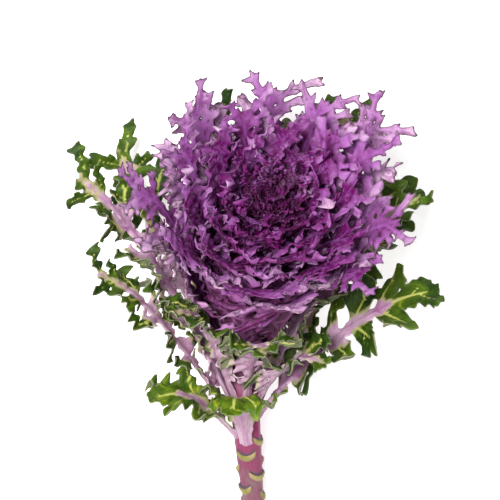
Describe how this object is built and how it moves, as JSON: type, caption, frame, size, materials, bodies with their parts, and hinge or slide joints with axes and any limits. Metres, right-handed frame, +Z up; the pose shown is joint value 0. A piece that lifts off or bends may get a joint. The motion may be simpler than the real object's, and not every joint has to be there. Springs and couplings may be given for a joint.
{
  "type": "purple flowering kale",
  "caption": "Cut stem of feathery purple flowering kale: a scarred stem, deeply lobed outer leaves with green margins, and a dense purple rosette round a dark heart.",
  "frame": {"origin": "on the surface that it lies on, below the middle of the bounding box", "axes": "+Y from the stem's cut end towards the head, +Z up from the surface, +X to the right seen from above"},
  "size_m": [0.1807, 0.264, 0.1295],
  "materials": {
    "stem": "waxy fresh stem, magenta with yellow-green leaf scars",
    "outer_leaf": "waxy leaf, pink ribs and green margins",
    "rosette_leaf": "waxy purple leaf, paler towards the lobes",
    "heart": "waxy dark purple leaf"
  },
  "bodies": {
    "root": {"stem": "stem", "outer_leaf_01": "outer_leaf", "outer_leaf_02": "outer_leaf", "outer_leaf_03": "outer_leaf", "outer_leaf_04": "outer_leaf", "outer_leaf_05": "outer_leaf", "outer_leaf_06": "outer_leaf", "outer_leaf_07": "outer_leaf", "outer_leaf_08": "outer_leaf", "outer_leaf_09": "outer_leaf", "outer_leaf_10": "outer_leaf", "outer_leaf_11": "outer_leaf", "outer_leaf_12": "outer_leaf", "outer_leaf_13": "outer_leaf", "outer_leaf_14": "outer_leaf", "rosette_leaf_01": "rosette_leaf", "rosette_leaf_02": "rosette_leaf", "rosette_leaf_03": "rosette_leaf", "rosette_leaf_04": "rosette_leaf", "rosette_leaf_05": "rosette_leaf", "rosette_leaf_06": "rosette_leaf", "rosette_leaf_07": "rosette_leaf", "rosette_leaf_08": "rosette_leaf", "rosette_leaf_09": "rosette_leaf", "rosette_leaf_10": "rosette_leaf", "rosette_leaf_11": "rosette_leaf", "rosette_leaf_12": "rosette_leaf", "rosette_leaf_13": "rosette_leaf", "rosette_leaf_14": "rosette_leaf", "rosette_leaf_15": "rosette_leaf", "rosette_leaf_16": "rosette_leaf", "rosette_leaf_17": "rosette_leaf", "rosette_leaf_18": "rosette_leaf", "rosette_leaf_19": "rosette_leaf", "rosette_leaf_20": "rosette_leaf", "rosette_leaf_21": "rosette_leaf", "rosette_leaf_22": "rosette_leaf", "rosette_leaf_23": "rosette_leaf", "rosette_leaf_24": "rosette_leaf", "rosette_leaf_25": "rosette_leaf", "rosette_leaf_26": "rosette_leaf", "rosette_leaf_27": "rosette_leaf", "rosette_leaf_28": "rosette_leaf", "rosette_leaf_29": "rosette_leaf", "rosette_leaf_30": "rosette_leaf", "rosette_leaf_31": "rosette_leaf", "rosette_leaf_32": "rosette_leaf", "rosette_leaf_33": "rosette_leaf", "rosette_leaf_34": "rosette_leaf", "heart": "heart"}
  },
  "joints": []
}
